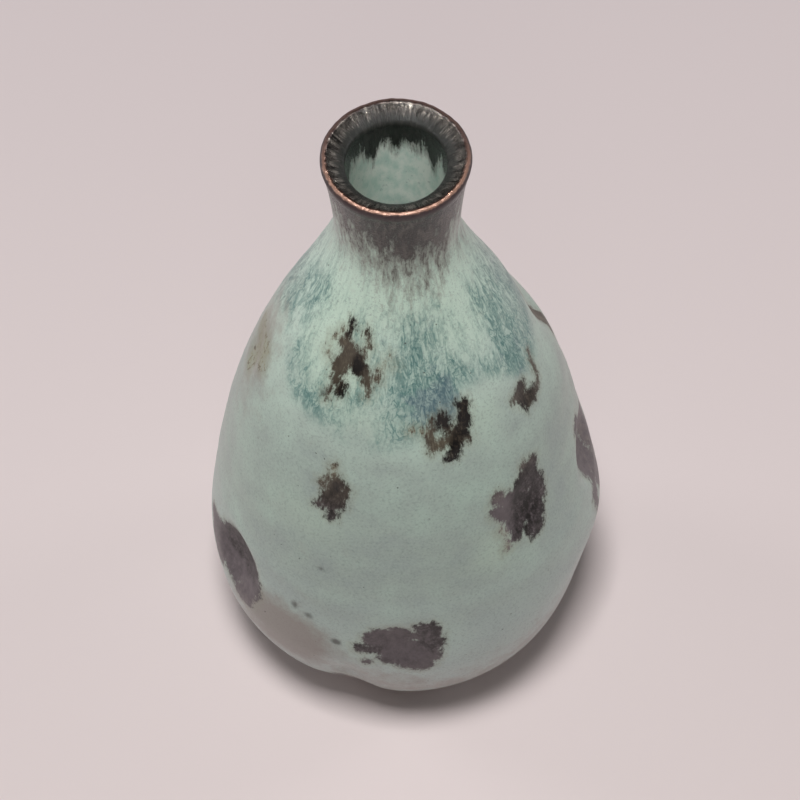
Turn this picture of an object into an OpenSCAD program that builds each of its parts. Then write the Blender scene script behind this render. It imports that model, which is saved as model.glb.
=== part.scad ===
// Thrown stoneware bud vase: a pear-shaped body on a turned foot ring, drawn up into a short
// neck with a flared lip, pressed in with a thumb while soft, and coated with poured glazes.
// It stands on its foot ring at the origin, +Z up, with its front towards -Y.
// Every glaze is a solid of its own, seated on the clay body or on the edge of its neighbour.

/* [Body] */
// Height from the table to the top of the lip
height = 136; // [128:1:146]
// Width over the glaze at the widest part of the belly
belly_d = 76; // [70:1:82]
// Height of the widest part of the belly above the table
belly_z = 30; // [27:1:34]
// Width over the glaze where the shoulder is steepest
shoulder_d = 41.6; // [39:0.2:45]
// Distance from the steepest part of the shoulder up to the narrowest part of the neck
shoulder_rise = 25; // [23:0.5:28]
// Lean of the steepest part of the shoulder from upright, in degrees
shoulder_lean = 26.4; // [24:0.2:29]
// Thickness of the thrown clay wall
wall_t = 3.4; // [2.6:0.1:4]
// Thickness of the clay floor above the hollow of the foot
floor_t = 4.2; // [3:0.1:6]

/* [Foot] */
// Outer width of the turned foot ring
foot_d = 44; // [38:1:48]
// Height of the foot ring
foot_h = 2.4; // [1.6:0.2:3]
// Width of the ring's flat standing face
foot_ring_w = 4; // [3:0.2:6]
// Depth of the hollow turned inside the foot ring
foot_hollow = 1.8; // [1.2:0.1:2]
// Bevel turned on both edges of the standing face
foot_bevel = 0.6; // [0.3:0.1:0.8]
// Bare clay left between the foot ring and the edge of the outer glaze
bare_h = 1.8; // [1:0.1:2.4]

/* [Neck and lip] */
// Distance from the narrowest part of the neck up to the top of the lip
neck_len = 17.5; // [16:0.5:20]
// Width over the glaze at the narrowest part of the neck
neck_d = 21.4; // [20.8:0.1:22.4]
// Outer width of the lip
lip_d = 25.1; // [24.5:0.1:27]
// Radius of the rounded crest of the lip
lip_round = 0.85; // [0.75:0.05:1]
// Lean of the neck from upright where it meets the lip, in degrees
lip_flare = 20; // [14:1:26]
// Width of the glazed throat that the stem passes through
throat_d = 16.6; // [15.6:0.1:17]
// Slope of the dished face between the crest and the throat, in degrees below level
dish_slope = 33; // [28:1:38]
// Radius of the rounded edge between the dished face and the throat
throat_round = 1.2; // [1:0.1:1.5]

/* [Pressed hollows] */
// Width of a full press of the thumb into a flat wall
press_w = 16; // [14:0.5:17]
// Depth of a full press
press_depth = 2.4; // [1.8:0.1:2.6]

/* [Glaze] */
// Thickness of the outer glaze, the lip glaze and the dark spots
coat_t = 0.5; // [0.4:0.05:0.6]
// Thickness of the glaze that lines the inside
liner_t = 0.4; // [0.3:0.05:0.5]
// Level above the neck's narrowest part down to which the lip glaze covers the neck all round
neck_cover = 5.5; // [4:0.5:7]
// Level above the neck's narrowest part down to which the lip glaze covers the throat all round
throat_cover = 9; // [7:0.5:11]
// Number of glaze runs down the outside of the neck
neck_runs = 18; // [12:1:20]
// Number of glaze runs down the throat
throat_runs = 14; // [10:1:15]
// Width of the narrowest glaze run near its end
run_w = 1.4; // [1.2:0.1:1.6]
// Extra width of the widest glaze run near its end
run_w_spread = 0.6; // [0.2:0.1:0.7]
// Length of the shortest glaze run
run_len = 1.6; // [1:0.1:2.5]
// Extra length of the longest glaze run
run_spread = 4.2; // [2:0.1:5]

/* [Hidden] */
$fn = 120;
ball_fn = 72;
spot_points = 26;

// The spots of dark glaze, each over a place where the wall is pressed in.
// Name, degrees round from the front, share of the height of the neck's narrowest part,
// width and height of the spot and width of the press as shares of a full press's width,
// depth of the press as a share of a full press's depth
SPOTS = [
    ["spot_shoulder_left", -27, 0.827, 0.75, 1, 0.7, 0.3],
    ["spot_shoulder_front", 20, 0.734, 0.55, 0.7, 0.55, 0.25],
    ["spot_shoulder_right", 60, 0.7, 0.45, 0.45, 0.5, 0.2],
    ["spot_shoulder_far_right", 110, 0.684, 0.6, 0.8, 0.7, 0.4],
    ["spot_shoulder_far_left", -90, 0.684, 0.7, 1, 0.75, 0.35],
    ["spot_waist_left", -25, 0.612, 0.4, 0.75, 0.5, 0.2],
    ["spot_belly_right", 43, 0.519, 0.75, 1.1, 0.8, 0.5],
    ["spot_low_front", -1, 0.304, 0.95, 0.85, 0.95, 0.5],
    ["spot_flank_left", -60, 0.312, 1.05, 1.05, 1.1, 1],
    ["spot_flank_right", 86, 0.422, 0.8, 1.05, 1.05, 0.9],
    ["spot_under_left", -18, 0.168, 0.45, 0.3, 0.55, 0.35],
    ["spot_back_shoulder_left", -148, 0.78, 0.6, 0.75, 0.6, 0.3],
    ["spot_back_shoulder_right", 163, 0.73, 0.55, 0.7, 0.55, 0.25],
    ["spot_back_waist_left", -128, 0.53, 0.7, 0.95, 0.75, 0.5],
    ["spot_back_belly_right", 142, 0.5, 0.75, 1, 0.8, 0.55],
    ["spot_back_flank_left", -112, 0.3, 0.9, 0.9, 0.95, 0.65],
    ["spot_back_low", 158, 0.29, 0.8, 0.8, 0.9, 0.55],
    ["spot_low_right", 115, 0.27, 0.7, 0.7, 0.8, 0.5],
];

// Colours of the fired clay and glazes
clay_color = [0.62, 0.53, 0.45];
turquoise = [0.55, 0.7, 0.66];
pale_turquoise = [0.6, 0.76, 0.7];
metal_black = [0.2, 0.17, 0.17];
spot_brown = [0.24, 0.21, 0.2];

belly_r = belly_d / 2;
throat_r = throat_d / 2;
foot_r = foot_d / 2;
neck_z = height - neck_len;
// Middle of the clay wall at the neck
mid_r = (throat_r + liner_t + neck_d / 2 - coat_t) / 2;
mid_lap = 0.3;
// Levels down to which the lip glaze covers the neck and the throat all round
neck_level = neck_z + neck_cover;
throat_level = neck_z + throat_cover;
shoulder_z = neck_z - shoulder_rise;
glaze_line = foot_h + bare_h;
floor_z = foot_hollow + floor_t;

// How far each curve of the section holds the direction that it starts or ends with
under_pull = 13.5;
belly_pull_down = 9;
belly_pull_up = 8;
shoulder_pull_down = 25;
shoulder_pull_up = 12.2;
neck_pull_down = 3.7;
neck_pull_up = 2.1;
lip_pull = 3;
// Rise of the underside from level where it leaves the foot ring, in degrees
under_rise = 8;
// Half the height over which the wall's slope is read
slope_step = 1;
// How much higher the middle of the foot's disc reaches into the floor than its edge
foot_crown = 1;
// How far the section is carried on past the throat's edge, to be cut off by the throat
throat_tail = 2;
// Direction of the throat's rounded edge where the throat cuts it
tail_dir = 165;

// Width of a glaze run where it starts, as a share of its width near the end
run_taper = 1.35;
// How far a run reaches up into the glaze it hangs from
run_root = 1;
// How far a run may stand off its even place, as a share of the spacing
run_shift = 0.2;
run_end_steps = 6;
// Angles that set the unevenness of each row of runs
neck_salt = 10;
throat_salt = 70;

shoulder_way = [-sin(shoulder_lean), cos(shoulder_lean)];
lip_centre = [lip_d / 2 - lip_round, height - lip_round];
lip_start = lip_centre + lip_round * [cos(lip_flare), -sin(lip_flare)];
dish_dir = 90 + dish_slope;
edge_centre_r = throat_r + throat_round;
edge_centre = [
    edge_centre_r,
    lip_centre[1] + (lip_round - throat_round - (edge_centre_r - lip_centre[0]) * cos(dish_dir))
        / sin(dish_dir)
];

// Point at share t along a cubic curve, and the curve's direction there
function along(p, t) =
    pow(1 - t, 3) * p[0] + 3 * pow(1 - t, 2) * t * p[1] + 3 * (1 - t) * t * t * p[2] + pow(t, 3) * p[3];
function heading(p, t) =
    pow(1 - t, 2) * (p[1] - p[0]) + 2 * (1 - t) * t * (p[2] - p[1]) + t * t * (p[3] - p[2]);
function outward(way) = [way[1], -way[0]] / norm(way);

// A section is a list of pairs: a point on the glazed surface, and the way out of the wall there
function bend(p, steps, first = 1) =
    [for (i = [first:steps]) [along(p, i / steps), outward(heading(p, i / steps))]];
function rounding(centre, r, from, to, steps, first = 0) =
    [for (i = [first:steps])
        let (a = from + (to - from) * i / steps)
        [centre + r * [cos(a), sin(a)], [cos(a), sin(a)]]];

body_section = concat(
    bend([
        [foot_r, foot_h],
        [foot_r, foot_h] + under_pull * [cos(under_rise), sin(under_rise)],
        [belly_r, belly_z - belly_pull_down],
        [belly_r, belly_z]
    ], 12, 0),
    bend([
        [belly_r, belly_z],
        [belly_r, belly_z + belly_pull_up],
        [shoulder_d / 2, shoulder_z] - shoulder_pull_down * shoulder_way,
        [shoulder_d / 2, shoulder_z]
    ], 14),
    bend([
        [shoulder_d / 2, shoulder_z],
        [shoulder_d / 2, shoulder_z] + shoulder_pull_up * shoulder_way,
        [neck_d / 2, neck_z - neck_pull_down],
        [neck_d / 2, neck_z]
    ], 8)
);
lip_section = concat(
    bend([
        [neck_d / 2, neck_z],
        [neck_d / 2, neck_z + neck_pull_up],
        lip_start - lip_pull * [sin(lip_flare), cos(lip_flare)],
        lip_start
    ], 6),
    rounding(lip_centre, lip_round, -lip_flare, dish_dir, 9, 1),
    rounding(edge_centre, throat_round, dish_dir, tail_dir, 4),
    [[
        edge_centre + throat_round * [cos(tail_dir), sin(tail_dir)]
            - throat_tail * [sin(tail_dir), -cos(tail_dir)],
        [cos(tail_dir), sin(tail_dir)]
    ]]
);

// Radius and slope of the glazed body at a height
radius_table = [for (s = body_section) [s[0][1], s[0][0]]];
function radius_at(z) = lookup(z, radius_table);
function rise_at(z) = atan((radius_at(z - slope_step) - radius_at(z + slope_step)) / (2 * slope_step));

// Radius of the ball that presses a hollow of this width and depth into a flat wall
function ball_r(width, in) = (width * width / 4 + in * in) / (2 * in);

// The section's line, set back below the glazed surface
function set_back(section, depth) = [for (s = section) s[0] - depth * s[1]];

// Solid turned about the axis: the whole vase outside, set back by depth
module turned(depth) {
    line = set_back(concat(body_section, lip_section), depth);
    rotate_extrude()
        polygon(concat([[0, foot_h]], line, [[0, line[len(line) - 1][1]]]));
}

// Local frame on the glazed wall at a spot: X to the right, Y up the wall, Z straight out
module on_wall(spot) {
    z = spot[2] * neck_z;
    rotate([0, 0, spot[1]])
        translate([0, -radius_at(z), z])
            rotate([90 - rise_at(z), 0, 0])
                children();
}

// The ball that presses in the wall at a spot, grown by the depth below the glazed surface
module press(spot, depth) {
    in = spot[6] * press_depth;
    ball = ball_r(spot[5] * press_w, in);
    on_wall(spot)
        translate([0, 0, ball - in])
            sphere(r = ball + depth, $fn = ball_fn);
}

// The vase outside with every spot pressed in, set back by depth
module pressed(depth) {
    difference() {
        turned(depth);
        for (s = SPOTS) press(s, depth);
    }
}

// The straight throat, from inside the shoulder to above the lip
module throat(r) {
    translate([0, 0, shoulder_z])
        cylinder(r = r, h = height);
}

// The space inside the vase, set back from the glazed outside by depth, with its throat
module hollow(depth, throat_radius, floor_level) {
    difference() {
        intersection() {
            rotate_extrude()
                polygon(concat([[0, foot_h]], set_back(body_section, depth), [[0, neck_z]]));
            translate([0, 0, floor_level])
                cylinder(r = belly_r, h = height);
        }
        for (s = SPOTS) press(s, depth);
    }
    throat(throat_radius);
}
module clay_hollow() {
    hollow(coat_t + wall_t, throat_r + liner_t, floor_z);
}
module glazed_hollow() {
    hollow(coat_t + wall_t + liner_t, throat_r, floor_z + liner_t);
}

// Bevelled ring that the vase stands on, turned from the clay of the floor
module foot_ring() {
    inner = foot_r - foot_ring_w - 2 * foot_bevel;
    rotate_extrude()
        polygon([
            [0, foot_hollow],
            [inner - foot_bevel, foot_hollow],
            [inner, foot_bevel],
            [inner + foot_bevel, 0],
            [foot_r - foot_bevel, 0],
            [foot_r, foot_bevel],
            [foot_r, foot_h + coat_t],
            [0, foot_h + coat_t + foot_crown]
        ]);
}

// Fired clay: thrown wall, pressed hollows, floor and foot ring
module clay_body() {
    color(clay_color)
        difference() {
            union() {
                pressed(coat_t);
                foot_ring();
            }
            clay_hollow();
        }
}

// Ragged outline of a spot of glaze, different at every place round the vase
module spot_outline(spot) {
    polygon([for (i = [0:spot_points - 1])
        let (
            a = 360 * i / spot_points,
            wave = 1 + 0.13 * sin(2 * a + spot[1]) + 0.1 * sin(3 * a + 3 * spot[1])
                + 0.08 * sin(7 * a + 5 * spot[1])
        )
        wave * press_w / 2 * [spot[3] * cos(a), spot[4] * sin(a)]]);
}
module spot_prism(spot) {
    reach = spot[4] * press_w;
    on_wall(spot)
        translate([0, 0, -reach / 2])
            linear_extrude(height = reach)
                spot_outline(spot);
}

// One spot of dark glaze, as thick as the coat round it
module spot_glaze(spot) {
    color(spot_brown)
        intersection() {
            difference() {
                turned(0);
                press(spot, 0);
                difference() {
                    turned(coat_t);
                    press(spot, coat_t);
                }
            }
            spot_prism(spot);
        }
}

// Share from 0 to 1 for glaze run i, uneven because it steps by the golden angle
function uneven(i, salt) = (sin(137.5 * i + salt) + sin(222.5 * i + 2 * salt) + 2) / 4;

// Outline of a glaze run that hangs from a level and narrows to a round end
module run_outline(w, drop) {
    polygon(concat(
        [[w * run_taper / 2, run_root], [-w * run_taper / 2, run_root]],
        [for (i = [0:run_end_steps])
            let (a = 180 + 180 * i / run_end_steps)
            [w / 2 * cos(a), w / 2 * sin(a) + w / 2 - drop]]
    ));
}

// Runs side by side round the axis, each a radial slab between two radii
module runs(count, level, r_in, r_out, salt) {
    for (i = [0:count - 1])
        rotate([0, 0, 360 * (i + run_shift * uneven(i, salt)) / count])
            translate([0, -r_in, level])
                rotate([90, 0, 0])
                    linear_extrude(height = r_out - r_in)
                        run_outline(
                            run_w + run_w_spread * uneven(i, salt),
                            run_len + run_spread * uneven(-i, salt)
                        );
}

module runs_on_neck() {
    runs(neck_runs, neck_level, mid_r, lip_d / 2, neck_salt);
}
module runs_in_throat() {
    runs(throat_runs, throat_level, throat_r / 2, mid_r, throat_salt);
}

// Dark metallic glaze on the neck, lip and upper throat, with its runs
module lip_glaze() {
    color(metal_black)
        difference() {
            turned(0);
            throat(throat_r);
            difference() {
                turned(coat_t);
                throat(throat_r + liner_t);
            }
            // Outside the neck, all below the neck's level but the runs
            difference() {
                cylinder(r = belly_d, h = neck_level);
                cylinder(r = mid_r - mid_lap, h = height);
                runs_on_neck();
            }
            // Inside the throat, all below the throat's level but the runs
            difference() {
                cylinder(r = mid_r + mid_lap, h = throat_level);
                runs_in_throat();
            }
        }
}

// Turquoise glaze over the outside, stopping short of the foot
module outer_glaze() {
    color(turquoise)
        difference() {
            pressed(0);
            pressed(coat_t);
            cylinder(r = belly_d, h = glaze_line);
            throat(throat_r + liner_t);
            translate([0, 0, neck_level])
                cylinder(r = lip_d, h = neck_len);
            runs_on_neck();
            for (s = SPOTS) spot_prism(s);
        }
}

// Turquoise glaze that lines the floor, walls and lower throat
module liner_glaze() {
    color(pale_turquoise)
        difference() {
            intersection() {
                clay_hollow();
                turned(0);
            }
            glazed_hollow();
            translate([0, 0, throat_level])
                cylinder(r = mid_r, h = neck_len);
            runs_in_throat();
        }
}

clay_body();
outer_glaze();
liner_glaze();
lip_glaze();
for (s = SPOTS) spot_glaze(s);
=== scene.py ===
"""Bud vase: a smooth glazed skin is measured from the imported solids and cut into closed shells.

Each shell stands for one solid, so that every coat and every spot of glaze stays a piece of its own.
"""
import math

import bpy
import numpy as np
from mathutils import Matrix, Vector
from mathutils.bvhtree import BVHTree

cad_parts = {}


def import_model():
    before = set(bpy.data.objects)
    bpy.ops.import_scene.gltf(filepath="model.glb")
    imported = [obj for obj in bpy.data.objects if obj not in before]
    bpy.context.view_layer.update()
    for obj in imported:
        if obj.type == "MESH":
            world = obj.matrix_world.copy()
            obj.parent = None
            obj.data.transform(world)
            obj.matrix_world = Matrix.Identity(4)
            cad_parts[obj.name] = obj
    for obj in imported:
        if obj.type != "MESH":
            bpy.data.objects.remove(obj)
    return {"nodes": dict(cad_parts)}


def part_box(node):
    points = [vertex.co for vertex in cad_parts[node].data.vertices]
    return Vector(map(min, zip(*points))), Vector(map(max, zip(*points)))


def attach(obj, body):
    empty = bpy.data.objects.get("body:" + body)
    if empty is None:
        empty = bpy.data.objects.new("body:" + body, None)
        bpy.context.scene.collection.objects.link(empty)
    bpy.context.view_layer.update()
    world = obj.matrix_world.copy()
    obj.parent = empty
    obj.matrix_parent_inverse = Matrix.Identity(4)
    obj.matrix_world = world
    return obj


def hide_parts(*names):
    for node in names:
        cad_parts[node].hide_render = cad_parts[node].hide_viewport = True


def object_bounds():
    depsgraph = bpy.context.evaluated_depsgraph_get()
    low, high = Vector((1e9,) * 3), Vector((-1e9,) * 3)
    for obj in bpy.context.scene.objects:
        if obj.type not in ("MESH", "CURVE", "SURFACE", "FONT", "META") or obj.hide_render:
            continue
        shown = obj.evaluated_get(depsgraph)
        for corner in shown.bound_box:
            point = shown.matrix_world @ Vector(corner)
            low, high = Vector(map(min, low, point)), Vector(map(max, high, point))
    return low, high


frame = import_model()
cad_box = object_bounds()

# Lengths in this script are in millimetres, and MM turns them into the scene's metres.
MM = 0.001

# The grid of the skin: columns round the axis, and the spacing of the rows on each stretch.
COLUMNS = 320
STEP_WALL = 0.55
STEP_NECK = 0.35
STEP_LIP = 0.13
STEP_FOOT = 0.3
STEP_INSIDE = 1.6

# The even samples along the outline: their spacing, the bells that ease the outline where it is crisp
# and where it is soft, and the bell that eases the spacing of the rows.
FINE = 0.05
EASE_CRISP = 0.12
EASE_SOFT = 1.5
EASE_STEP = 1.0

# Depths of the coats below the skin, as the solids have them, and how far the clay keeps below a coat.
COAT = 0.5
LINER = 0.4
CLEAR = 0.06

# Where the stretches of the outline meet, measured down from the rim or up from the floor.
LIP_DEPTH = 2.2
NECK_DEPTH = 26.0
FOOT_RISE = 3.0
THROAT_DEPTH = 27.0

# Depths below the rim between which the outline turns crisp, and the depth inside where it turns soft.
CRISP_LIP = (4.0, 2.0)
CRISP_INSIDE = 6.0


# ---------------------------------------------------------------- the solids

def search_tree():
    """A search tree over all the solids, in mm, and the node that each of its faces belongs to."""
    points, faces, owners = [], [], []
    for name, solid in frame["nodes"].items():
        first = len(points)
        points += [v.co / MM for v in solid.data.vertices]
        faces += [[first + i for i in face.vertices] for face in solid.data.polygons]
        owners += [name] * len(solid.data.polygons)
    return BVHTree.FromPolygons(points, faces), owners


TREE, OWNERS = search_tree()
BASE = cad_box[0].z / MM
TOP = cad_box[1].z / MM
REACH = cad_box[1].x / MM

# The heading in which the outline is read, off the edges of the solids' facets.
PROBE = Vector((math.cos(0.4), math.sin(0.4), 0))
UP = Vector((0, 0, 1))


def met(start, way):
    """The point where a ray first meets the solids."""
    return TREE.ray_cast(start, way)[0]


def height_at(r, start, way):
    """The height at which an upright ray meets the solids, at a distance from the axis."""
    return met(PROBE * r + UP * start, way).z


def wall_radius(z, headings=36, off_facets=0.3, clear=5):
    """The wall's outer radius at a height, away from the pressed hollows."""
    found = []
    for turn in (np.arange(headings) + off_facets) * 2 * math.pi / headings:
        way = Vector((math.cos(turn), math.sin(turn), 0))
        point = met(way * (REACH + clear) + UP * z, -way)
        found.append(math.hypot(point.x, point.y))
    return max(found)


def bore_radius(z):
    """The inner wall's radius at a height."""
    return met(UP * z, PROBE).to_2d().length


# The radius of the straight throat.
THROAT = bore_radius(TOP - THROAT_DEPTH / 2)


def foot_radius(step, least=10, touch=0.01):
    """The outer radius of the ring that stands on the floor."""
    radii = np.arange(least, REACH - 1, step)
    return max(r for r in radii if height_at(r, BASE - 1, UP) < BASE + touch)


def turned_outline():
    """(r, z) from the middle of the underside, up the wall, over the lip and down to the inner floor."""
    # How finely each stretch is read, how far short of its ends, and how high a ray to the floor starts.
    foot_step, wall_step, crown_step, inside_step = 0.1, 0.25, 0.05, 0.4
    wall_end, crown_end, bore_start, floor_curve, clear = 0.05, 0.02, 0.2, 4, 20
    under = [(r, height_at(r, BASE - 1, UP)) for r in np.arange(0, foot_radius(foot_step), foot_step)]
    wall = [(wall_radius(z), z) for z in np.arange(BASE + wall_end, TOP - wall_end, wall_step)]
    widest = max(point for point in wall if point[1] > TOP - LIP_DEPTH)
    wall = [point for point in wall if point[1] <= widest[1]]
    radii = np.arange(widest[0] - crown_end, THROAT + crown_end, -crown_step)
    crown = [(r, height_at(r, TOP + 1, -UP)) for r in radii]
    floor = height_at(0, TOP / 2, -UP)
    heights = np.arange(crown[-1][1] - bore_start, floor + floor_curve, -inside_step)
    bore = [(bore_radius(z), z) for z in heights]
    radii = np.arange(bore[-1][0] - inside_step, 0, -inside_step)
    bottom = [(r, height_at(r, floor + clear, -UP)) for r in radii]
    return np.array(under + wall + crown + bore + bottom + [(0, floor)])


def along(path):
    """The length of the path up to each of its points."""
    return np.concatenate([[0], np.cumsum(np.hypot(*np.diff(path, axis=0).T))])


def eased(values, sigma):
    """Values smoothed along their first axis by a bell of that many points."""
    reach = int(3 * sigma) + 1
    bell = np.exp(-0.5 * (np.arange(-reach, reach + 1) / sigma) ** 2)
    bell /= bell.sum()
    padded = np.pad(values, (reach, reach), mode="reflect", reflect_type="odd")
    return np.convolve(padded, bell, mode="valid")


def step_between(value, low, high):
    """0 below low, 1 above high and a smooth step between."""
    t = np.clip((value - low) / (high - low), 0, 1)
    return t * t * (3 - 2 * t)


def section():
    """The rows of the grid as (r, z, outward r, outward z, length so far), eased along the outline."""
    rough = turned_outline()
    lengths = along(rough)
    fine = np.arange(0, lengths[-1], FINE)
    r = np.interp(fine, lengths, rough[:, 0])
    z = np.interp(fine, lengths, rough[:, 1])
    outside = fine < fine[np.argmax(z)]
    crisp_lip = step_between(z, TOP - CRISP_LIP[0], TOP - CRISP_LIP[1])
    crisp_foot = 1 - step_between(z, FOOT_RISE - 1, FOOT_RISE + 1)
    crisp = np.maximum(crisp_lip, crisp_foot) * (outside | (z > TOP - CRISP_INSIDE))
    for values in (r, z):
        values[:] = eased(values, EASE_CRISP / FINE) * crisp + eased(values, EASE_SOFT / FINE) * (1 - crisp)
    r[0] = r[-1] = 0
    step = np.full(len(fine), STEP_WALL)
    step[outside & (z < BASE + FOOT_RISE)] = STEP_FOOT
    step[outside & (z > TOP - NECK_DEPTH)] = STEP_NECK
    step[~outside & (z > TOP - THROAT_DEPTH)] = STEP_NECK
    step[~outside & (z <= TOP - THROAT_DEPTH)] = STEP_INSIDE
    step[(z > TOP - LIP_DEPTH) & (r > THROAT - 1)] = STEP_LIP
    counted = np.cumsum(eased(1 / step, EASE_STEP / FINE)) * FINE
    rows = int(counted[-1] - counted[0])
    at = np.interp(np.linspace(counted[0], counted[-1], rows), counted, fine)
    dr = np.gradient(r, FINE)
    dz = np.gradient(z, FINE)
    size = np.hypot(dr, dz)
    table = np.array([r, z, dz / size, -dr / size, fine])
    return np.array([np.interp(at, fine, row) for row in table])


# Each row's radius, height, outward direction and length along the outline so far.
R, Z, NR, NZ, S = section()
ROWS = len(R)
CREST = int(np.argmax(Z))
OUTSIDE = np.arange(ROWS) < CREST

# Each column's azimuth from the front, in radians and in degrees, and its heading.
AZ = np.arange(COLUMNS) * 2 * math.pi / COLUMNS
HEADING = np.stack([np.sin(AZ), -np.cos(AZ)])
DEGREES = np.degrees((AZ + math.pi) % (2 * math.pi) - math.pi)


def placed(r, z):
    """Points of the grid in space, from their radii and heights."""
    return np.stack([r * HEADING[0], r * HEADING[1], z + 0 * r], -1)


def seen_solids(start=2.0):
    """How far each point of the turned outline stands above the solids, and the node that lies under it."""
    depth = np.zeros((ROWS, COLUMNS))
    owner = np.empty((ROWS, COLUMNS), object)
    for k in range(ROWS):
        for j, turn in enumerate(AZ):
            x, y = math.sin(turn), -math.cos(turn)
            way = Vector((NR[k] * x, NR[k] * y, NZ[k]))
            point = Vector((R[k] * x, R[k] * y, Z[k]))
            _, _, face, distance = TREE.ray_cast(point + way * start, -way)
            depth[k, j] = 0 if face is None else distance - start
            owner[k, j] = "" if face is None else OWNERS[face]
    return depth, owner


DEPTH, OWNER = seen_solids()


# ---------------------------------------------------------------- the skin's shape

# Heights over the floor between which the swells of the wall set in, and between which its waves do.
# The waves end again between two depths below the rim.
FOOT_EASE = (1, 6)
WAVES_START = (2, 12)
WAVES_END = (30, 10)

# Where the thrown form isn't quite true: height, half height and shift to the right.
LEANS = [(40, 10, 0.5), (12, 6, -0.25)]

# Waves over the grid: how many round the axis, mm up the wall for one, phase and height. On the wall they
# are soft swells and faint throwing rings, and on the lip they are the beads of the glaze.
WALL_WAVES = [(2, 90, 0.4, 0.14), (3, -70, 2, 0.1), (5, 47, 4, 0.06), (0, 6.3, 0, 0.015),
              (1, 9.7, 1, 0.015)]
LIP_WAVES = [(29, 14, 0, 0.02), (43, -17, 1.1, 0.02), (11, 19, 2, 0.05), (5, 31, 0.5, 0.03)]

# Soft swells of the wall: azimuth in degrees from the front, height, half widths and rise.
SWELLS = [(7, 13, 12, 8, 0.6), (-18, 13, 4, 8, -1.3), (-54, 20, 14, 9, 0.45), (72, 26, 12, 8, -1.3),
          (84, 34, 8, 5, 1.1), (110, 61, 10, 4, 0.4), (96, 74, 12, 6, 0.8), (122, 85, 8, 5, -0.8)]

# The ring that stands out on the belly: height, half height and rise.
BELLY_RING = (45, 2.5, 0.12)

# The deepest hollow that a press leaves, and the bell that softens its edge, in rows and columns.
DEEPEST_PRESS = 4
PRESS_EASE = 1.2


def blurred(field, rows, columns, least=1e-4):
    """A field over the grid smoothed by a bell of so many rows and so many columns."""
    reach = int(3 * max(rows, columns)) + 1
    offsets = np.arange(-reach, reach + 1)
    for axis, sigma in ((0, rows), (1, columns)):
        bell = np.exp(-0.5 * (offsets / sigma) ** 2)
        bell /= bell.sum()
        pads = [(0, 0), (0, 0)]
        pads[axis] = (reach, reach)
        padded = np.pad(field, pads, mode="wrap" if axis else "edge")
        length = field.shape[axis]
        field = sum(w * padded.take(range(k, k + length), axis) for k, w in enumerate(bell) if w > least)
    return field


def bump(values, middle, spread):
    """A bell of height 1."""
    return np.exp(-0.5 * ((values - middle) / spread) ** 2)


def waves(table):
    """The sum of a table's waves over the grid."""
    return sum(height * np.cos(turns * AZ[None] + 2 * math.pi * S[:, None] / rise + phase)
               for turns, rise, phase, height in table)


def apart(azimuth):
    """How far each column is from an azimuth, in radians."""
    return np.radians((DEGREES - azimuth + 180) % 360 - 180)


def drifts(places):
    """Soft patches on the outer wall: azimuth in degrees, height, half widths in mm, and strength."""
    field = np.zeros((ROWS, COLUMNS))
    for azimuth, z, across, up, strength in places:
        radius = np.interp(z, Z[OUTSIDE], R[OUTSIDE])
        x = apart(azimuth)[None] * radius / across
        y = (Z[:, None] - z) / up
        field += strength * np.exp(-0.5 * (x * x + y * y)) * OUTSIDE[:, None]
    return field


def pressed():
    """The finger-pressed hollows of the solids, with their edges softened as the glaze softens them."""
    wall = OUTSIDE & (Z > BASE + FOOT_RISE) & (Z < TOP - 2 * LIP_DEPTH)
    return blurred(np.where(wall[:, None], np.clip(DEPTH, 0, DEEPEST_PRESS), 0), PRESS_EASE, PRESS_EASE)


def lean():
    """The form's lean: its belly stands a little to the right, and its underside to the left."""
    aside = sum(shift * bump(Z, z, half) for z, half, shift in LEANS)
    return aside[:, None] * HEADING[0][None] * OUTSIDE[:, None]


def hand_made():
    """The thrown wall's small unevenness."""
    z, half, rise = BELLY_RING
    start, end = [BASE + h for h in WAVES_START], [TOP - h for h in WAVES_END]
    wall = step_between(Z, *start) * (1 - step_between(Z, *end)) * OUTSIDE
    return (waves(WALL_WAVES) + rise * bump(Z, z, half)[:, None]) * wall[:, None]


def lip_beads(spread=0.9):
    """The beaded edge that the glaze leaves on the lip."""
    return bump(S, S[CREST], spread)[:, None] * waves(LIP_WAVES)


def lifted(relief):
    """The grid's points in space, moved out along the turned outline's own normals."""
    return placed(R[:, None] + NR[:, None] * relief, Z[:, None] + NZ[:, None] * relief)


def normals_of(points):
    """The outward direction at each point of the grid."""
    round_axis = np.roll(points, -1, 1) - np.roll(points, 1, 1)
    upward = np.gradient(points, axis=0)
    out = np.cross(round_axis, upward)
    out[0], out[-1] = (0, 0, -1), (0, 0, 1)
    return out / np.linalg.norm(out, axis=-1, keepdims=True)


ABOVE_FOOT = step_between(Z, BASE + FOOT_EASE[0], BASE + FOOT_EASE[1])[:, None]
POINTS = lifted(hand_made() + (lean() + drifts(SWELLS)) * ABOVE_FOOT + lip_beads() - pressed())
NORMALS = normals_of(POINTS)


# ---------------------------------------------------------------- what the materials read

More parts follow.
